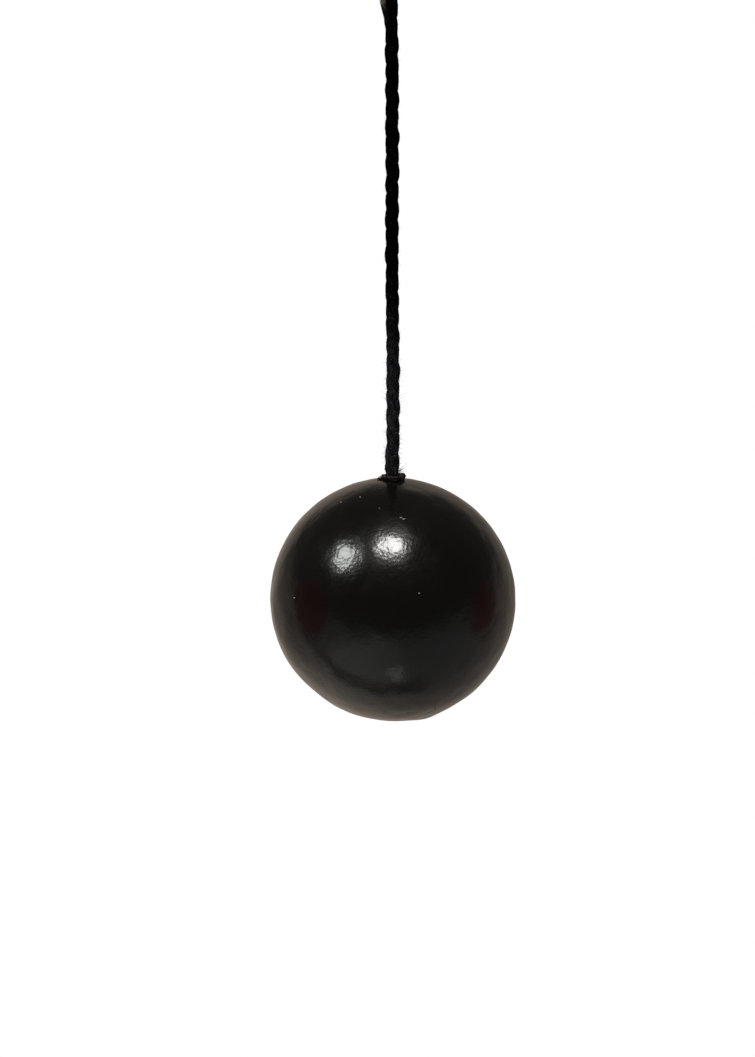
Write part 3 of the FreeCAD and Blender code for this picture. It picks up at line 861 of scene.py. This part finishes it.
def make_grains(ball):
    """Dust grains in the enamel: each an octahedron pushed to a low lump, half sunk in the skin."""
    draw = np.random.default_rng(ball.seed + 3)
    tilt = math.radians(9)
    right, up = np.array([1.0, 0, 0]), np.array([0, math.sin(tilt), math.cos(tilt)])
    towards = np.array([0, -math.cos(tilt), math.sin(tilt)])
    chosen = np.array(FRONT_GRAINS)
    angle, share = np.radians(chosen[:, 0])[:, None], chosen[:, 1][:, None]
    front = share * (np.cos(angle) * right + np.sin(angle) * up) + np.sqrt(1 - share**2) * towards
    spread = unit(draw.normal(0, 1, (60, 3)))
    spread = spread[(spread[:, 1] > 0.1) & (spread[:, 2] < 0.95)]
    direction = np.concatenate([front, spread])
    size = np.concatenate([chosen[:, 2], draw.uniform(0.07, 0.15, len(spread))])[:, None, None] * MM
    shell = unit(np.array([
        [x, y, z] for x in (-1, 0, 1) for y in (-1, 0, 1) for z in (-1, 0, 1) if x or y or z
    ], float))
    hull = octahedral_faces(shell)
    lump = shell[None] * size * draw.uniform(0.8, 1.2, (len(direction), 1, 3))
    lump[:len(chosen), :, 0] *= chosen[:, 3][:, None]
    centre = direction * (BALL_RADIUS + out_of_round(direction) + 0.02 * MM)[:, None]
    points = (centre[:, None] + lump).reshape(-1, 3) + np.array(BALL_CENTRE)
    offset = (np.arange(len(direction)) * len(shell))[:, None, None]
    faces = (hull[None] + offset).reshape(-1, 3)
    grains = new_piece("dust_grains", points, faces, dust_in_enamel())
    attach(grains, "ball")
    return grains


def octahedral_faces(shell):
    """The outward triangles of the convex hull of points on a sphere."""
    hull = bmesh.new()
    for point in shell:
        hull.verts.new(point)
    bmesh.ops.convex_hull(hull, input=hull.verts)
    bmesh.ops.triangulate(hull, faces=hull.faces)
    bmesh.ops.recalc_face_normals(hull, faces=hull.faces)
    hull.verts.index_update()
    faces = np.array([[vertex.index for vertex in face.verts] for face in hull.faces])
    hull.free()
    return faces


def dust_in_enamel():
    """Household dust under the last thin film of enamel: grey, and glossy where the film is whole."""
    material, tree = new_material("dust_in_enamel")
    place = add_node(tree, "TexCoord").outputs["Object"]
    mottle = add_node(tree, "TexNoise", {"Vector": place, "Scale": 2500.0, "Detail": 2.0})
    tint = add_node(
        tree, "Mix", {"Factor": mottle.outputs["Fac"], "A": linear("15110F"), "B": linear("B5AFA6")},
        data_type="RGBA")
    shader = add_node(
        tree, "BsdfPrincipled", {"Base Color": tint.outputs["Result"], "Roughness": 0.25, "IOR": 1.5})
    add_node(tree, "OutputMaterial", {"Surface": shader})
    return material


def finish_wood(ball):
    """Gives the core and its plug, which keep their CAD meshes, their wood."""
    for node, pith in (("ball_core", (0.031, 0.012, 0)), ("bottom_plug", (0.009, 0.017, 0.2))):
        mesh = frame["nodes"][node].data
        material = turned_beech(ball, f"turned_beech_{node}", pith)
        mesh.materials.clear()
        mesh.materials.append(material)


def make_camera(stage):
    """The camera looks along +Y and a little down, with a long lens."""
    tilt = stage.elevation
    back = Vector((0, -math.cos(tilt), math.sin(tilt)))
    up = Vector((0, math.sin(tilt), math.cos(tilt)))
    aim = BALL_CENTRE + up * stage.aim[1] - Vector((1, 0, 0)) * stage.aim[0]
    camera = bpy.data.objects.new("camera", bpy.data.cameras.new("camera"))
    camera.data.lens = stage.lens
    camera.data.sensor_width = 36
    camera.data.clip_start, camera.data.clip_end = 0.05, 50
    camera.location = aim + back * stage.distance
    camera.rotation_mode = "QUATERNION"
    camera.rotation_quaternion = (-back).to_track_quat("-Z", "Y")
    bpy.context.scene.collection.objects.link(camera)
    bpy.context.scene.camera = camera


LAMP_DISTANCE = 1.5


def add_lamp(name, towards, radius, power, colour):
    """A round soft lamp that faces the ball, which mirrors it."""
    light = bpy.data.lights.new(name, "AREA")
    light.shape = "DISK"
    light.size = 2 * radius
    light.energy = power
    light.color = colour
    lamp = bpy.data.objects.new(name, light)
    direction = Vector(towards).normalized()
    lamp.location = BALL_CENTRE + direction * LAMP_DISTANCE
    lamp.rotation_mode = "QUATERNION"
    lamp.rotation_quaternion = direction.to_track_quat("Z", "Y")
    lamp.visible_camera = False
    bpy.context.scene.collection.objects.link(lamp)


def make_room():
    """The room as the ball mirrors it: dim in front, with a bright table from below and a bright
    sheet that curves up from it behind, and nothing but white behind the object itself. Each part is
    placed by how far a direction points along an axis, or towards the middle of that part."""
    world = bpy.data.worlds.new("studio")
    bpy.context.scene.world = world
    world.use_nodes = True
    tree = world.node_tree
    tree.nodes.clear()
    towards = add_node(tree, "TexCoord").outputs["Generated"]
    axes = add_node(tree, "SeparateXYZ", {0: towards}).outputs

    # The edge of what is bright is low in front, a little higher at the sides and high behind.
    behind = add_node(tree, "Math", {0: axes["Y"], 1: 0.0}, operation="MAXIMUM")
    across = add_node(tree, "Math", {0: axes["X"], 1: axes["X"]}, operation="MULTIPLY")
    climb = add_node(
        tree, "MapRange",
        {"Value": across, "From Min": 0.09, "From Max": 0.5, "To Min": 1.15, "To Max": 0.62},
        interpolation_type="SMOOTHSTEP")
    edge = add_node(tree, "Math", {0: across, 1: 0.38, 2: -0.48}, operation="MULTIPLY_ADD")
    edge = add_node(tree, "Math", {0: behind, 1: climb, 2: edge}, operation="MULTIPLY_ADD")
    under = add_node(tree, "Math", {0: edge, 1: axes["Z"]}, operation="SUBTRACT")
    bright = add_node(
        tree, "MapRange", {"Value": under, "From Min": -0.20, "From Max": 0.17},
        interpolation_type="SMOOTHSTEP")

    # The sheet is lit from the left, and its left side is dim above the table.
    sheet = add_node(
        tree, "MapRange",
        {"Value": axes["X"], "From Min": -0.5, "From Max": 0.35, "To Min": 0.56, "To Max": 0.28},
        interpolation_type="SMOOTHSTEP")
    level = add_node(
        tree, "MapRange",
        {"Value": axes["Z"], "From Min": -0.6, "From Max": 0.2, "To Min": 1.0, "To Max": 0.82},
        interpolation_type="SMOOTHSTEP")
    left = add_node(
        tree, "MapRange",
        {"Value": axes["X"], "From Min": -0.8, "From Max": -0.1, "To Min": -0.5, "To Max": 0.0},
        interpolation_type="SMOOTHSTEP")
    above = add_node(
        tree, "MapRange", {"Value": axes["Z"], "From Min": -0.75, "From Max": -0.40},
        interpolation_type="SMOOTHSTEP")
    dim = add_node(tree, "Math", {0: left, 1: above, 2: 1.0}, operation="MULTIPLY_ADD")
    for factor in (level, dim):
        sheet = add_node(tree, "Math", {0: sheet, 1: factor}, operation="MULTIPLY")

    # A painted shadow of the ball lies on the table under it, to the left, and a small painted pool of
    # light lies in front of it.
    off_painted_shadow = add_node(
        tree, "VectorMath", {0: towards, 1: Vector((0.04, 0.98, -0.09)).normalized()},
        operation="DOT_PRODUCT")
    off_painted_shadow = add_node(tree, "Math", {0: off_painted_shadow.outputs["Value"]}, operation="ABSOLUTE")
    painted_ball_shadow = add_node(
        tree, "MapRange",
        {"Value": off_painted_shadow, "From Min": 0.0, "From Max": 0.20, "To Min": 0.24, "To Max": 1.0},
        interpolation_type="SMOOTHSTEP")
    right = add_node(
        tree, "MapRange", {"Value": axes["X"], "From Min": 0.0, "From Max": 0.5},
        interpolation_type="SMOOTHSTEP")
    for clear_of in (right, above):
        painted_ball_shadow = add_node(tree, "Math", {0: painted_ball_shadow, 1: clear_of}, operation="MAXIMUM")
    glow = add_node(
        tree, "VectorMath", {0: towards, 1: Vector((0.04, -0.44, -0.90)).normalized()},
        operation="DOT_PRODUCT")
    glow = add_node(
        tree, "MapRange",
        {"Value": glow.outputs["Value"], "From Min": 0.990, "From Max": 1.0, "To Max": 0.85},
        interpolation_type="SMOOTHSTEP")
    sheet = add_node(tree, "Math", {0: sheet, 1: painted_ball_shadow, 2: glow}, operation="MULTIPLY_ADD")

    # Dark red cloths hang at the left and the right: each cloth's middle, and the cosines of how far
    # from it the red begins and is full.
    cloths = [((-0.988, -0.09, -0.12), 0.90, 0.97), ((0.982, 0.10, -0.13), 0.93, 0.985)]
    red = 0.0
    for middle, begins, full in cloths:
        cloth = add_node(
            tree, "VectorMath", {0: towards, 1: Vector(middle).normalized()}, operation="DOT_PRODUCT")
        cloth = add_node(
            tree, "MapRange", {"Value": cloth.outputs["Value"], "From Min": begins, "From Max": full},
            interpolation_type="SMOOTHSTEP")
        red = add_node(tree, "Math", {0: cloth, 1: red}, operation="MAXIMUM")
    no_red = add_node(tree, "Math", {0: red, 1: -0.9, 2: 1.0}, operation="MULTIPLY_ADD")
    bright = add_node(tree, "Math", {0: bright, 1: no_red}, operation="MULTIPLY")
    room = add_node(
        tree, "Mix", {"Factor": red, "A": (0.076, 0.074, 0.071, 1), "B": (0.15, 0.05, 0.05, 1)},
        data_type="RGBA")

    # The table in front is neutral, and the sheet behind is warm.
    warmth = add_node(
        tree, "MapRange", {"Value": axes["Y"], "From Min": -0.4, "From Max": 0.6},
        interpolation_type="SMOOTHSTEP")
    warmth = add_node(
        tree, "Mix", {"Factor": warmth, "A": (0.96, 0.95, 0.93, 1), "B": (1.0, 0.84, 0.71, 1)},
        data_type="RGBA")
    tinted = add_node(tree, "VectorMath", {0: sheet, 1: warmth.outputs["Result"]}, operation="MULTIPLY")
    mirrored = add_node(
        tree, "Mix", {"Factor": bright, "A": room.outputs["Result"], "B": tinted}, data_type="RGBA")
    direct = add_node(tree, "LightPath").outputs["Is Camera Ray"]
    seen = add_node(
        tree, "Mix", {"Factor": direct, "A": mirrored.outputs["Result"], "B": (1, 1, 1, 1)},
        data_type="RGBA")
    light = add_node(tree, "Background", {"Color": seen.outputs["Result"]})
    add_node(tree, "OutputWorld", {"Surface": light})


FLOOR_RADIUS = 0.9
FLOOR_SIDES = 96


def make_floor(stage):
    """A plain pale disc well below the ball: painted board that pales to white at its rim, and is
    clear from below."""
    material, tree = new_material("painted_floor")
    side = add_node(tree, "NewGeometry").outputs["Backfacing"]
    place = add_node(tree, "TexCoord").outputs["Object"]
    mottle = add_node(tree, "TexNoise", {"Vector": place, "Scale": 6.0, "Detail": 3.0})
    tint = add_node(
        tree, "Mix",
        {"Factor": mottle.outputs["Fac"], "A": linear(stage.floor_colour), "B": linear("EDECEA")},
        data_type="RGBA")
    out_from_middle = add_node(tree, "VectorMath", {0: place}, operation="LENGTH")
    rim = add_node(
        tree, "MapRange",
        {"Value": out_from_middle.outputs["Value"], "From Min": 0.35, "From Max": 0.88},
        interpolation_type="SMOOTHSTEP")
    tint = add_node(
        tree, "Mix", {"Factor": rim, "A": tint.outputs["Result"], "B": (1, 1, 1, 1)}, data_type="RGBA")
    glow = add_node(tree, "Emission", {"Color": tint.outputs["Result"], "Strength": 1.0})
    clear = add_node(tree, "BsdfTransparent")
    mixed = add_node(tree, "MixShader", {"Fac": side, 1: glow, 2: clear})
    add_node(tree, "OutputMaterial", {"Surface": mixed})
    around = np.arange(FLOOR_SIDES) * 2 * math.pi / FLOOR_SIDES
    ring = np.stack([np.cos(around), np.sin(around), np.zeros(FLOOR_SIDES)], 1) * FLOOR_RADIUS
    mesh = bpy.data.meshes.new("floor")
    mesh.from_pydata(ring.tolist(), [], [list(range(FLOOR_SIDES))])
    mesh.materials.append(material)
    floor = bpy.data.objects.new("floor", mesh)
    floor.location = (0, 0, BALL_CENTRE.z - stage.floor_drop)
    bpy.context.scene.collection.objects.link(floor)
    floor.visible_glossy = False
    floor.visible_diffuse = False
    floor.visible_shadow = False


class BALLCORD_OT_stage(bpy.types.Operator):
    """Makes the camera, the lamps, the room's light and the floor"""

    bl_idname = "ballcord.stage"
    bl_label = "Stage"

    def execute(self, context):
        stage = context.scene.ballcord_stage
        make_camera(stage)
        add_lamp("key_lamp", (0.005, -0.48, 0.877), 0.25, stage.key_power, (1.0, 0.98, 0.96))
        add_lamp("second_lamp", (-0.649, -0.359, 0.670), 0.22, stage.second_power, (0.98, 1.0, 0.98))
        make_room()
        make_floor(stage)
        context.scene.view_settings.view_transform = "Standard"
        return {"FINISHED"}


class BALLCORD_OT_cord(bpy.types.Operator):
    """Makes the free cord, its fibres and the stopper knot in the ball"""

    bl_idname = "ballcord.cord"
    bl_label = "Hanging cord"

    def execute(self, context):
        make_cord(context.scene.ballcord_cord)
        return {"FINISHED"}


class BALLCORD_OT_loop(bpy.types.Operator):
    """Makes the hanging loop and the knot that closes it"""

    bl_idname = "ballcord.loop"
    bl_label = "Loop and knot"

    def execute(self, context):
        make_loop(context.scene.ballcord_cord)
        return {"FINISHED"}


class BALLCORD_OT_ball(bpy.types.Operator):
    """Makes the enamel skin, its dust and the wood under it"""

    bl_idname = "ballcord.ball"
    bl_label = "Enamelled ball"

    def execute(self, context):
        ball = context.scene.ballcord_ball
        make_enamel(ball)
        make_grains(ball)
        finish_wood(ball)
        return {"FINISHED"}


class BALLCORD_OT_collar(bpy.types.Operator):
    """Makes the ragged rim of glue at the mouth of the bore"""

    bl_idname = "ballcord.collar"
    bl_label = "Glue rim"

    def execute(self, context):
        make_collar(context.scene.ballcord_ball)
        return {"FINISHED"}


class BALLCORD_PT_panel(bpy.types.Panel):
    """Lists the makers of the object's pieces"""

    bl_label = "Ball on a Cord"
    bl_idname = "BALLCORD_PT_panel"
    bl_space_type = "VIEW_3D"
    bl_region_type = "UI"
    bl_category = "Ball on a Cord"

    def draw(self, context):
        for operator in OPERATORS:
            self.layout.operator(operator.bl_idname)


OPERATORS = (BALLCORD_OT_stage, BALLCORD_OT_cord, BALLCORD_OT_loop, BALLCORD_OT_ball, BALLCORD_OT_collar)
GROUPS = {"ballcord_cord": CordSettings, "ballcord_ball": BallSettings, "ballcord_stage": StageSettings}


def register():
    """Registers the settings, the operators and the panel."""
    for group in GROUPS.values():
        bpy.utils.register_class(group)
    for operator in (*OPERATORS, BALLCORD_PT_panel):
        bpy.utils.register_class(operator)
    for name, group in GROUPS.items():
        setattr(bpy.types.Scene, name, PointerProperty(type=group))


def unregister():
    """Takes away what register adds."""
    for name in GROUPS:
        delattr(bpy.types.Scene, name)
    for operator in (BALLCORD_PT_panel, *reversed(OPERATORS)):
        bpy.utils.unregister_class(operator)
    for group in GROUPS.values():
        bpy.utils.unregister_class(group)


def main():
    """Makes the whole object."""
    register()
    bpy.ops.ballcord.stage()
    bpy.ops.ballcord.cord()
    bpy.ops.ballcord.loop()
    bpy.ops.ballcord.ball()
    bpy.ops.ballcord.collar()


if __name__ == "__main__":
    main()
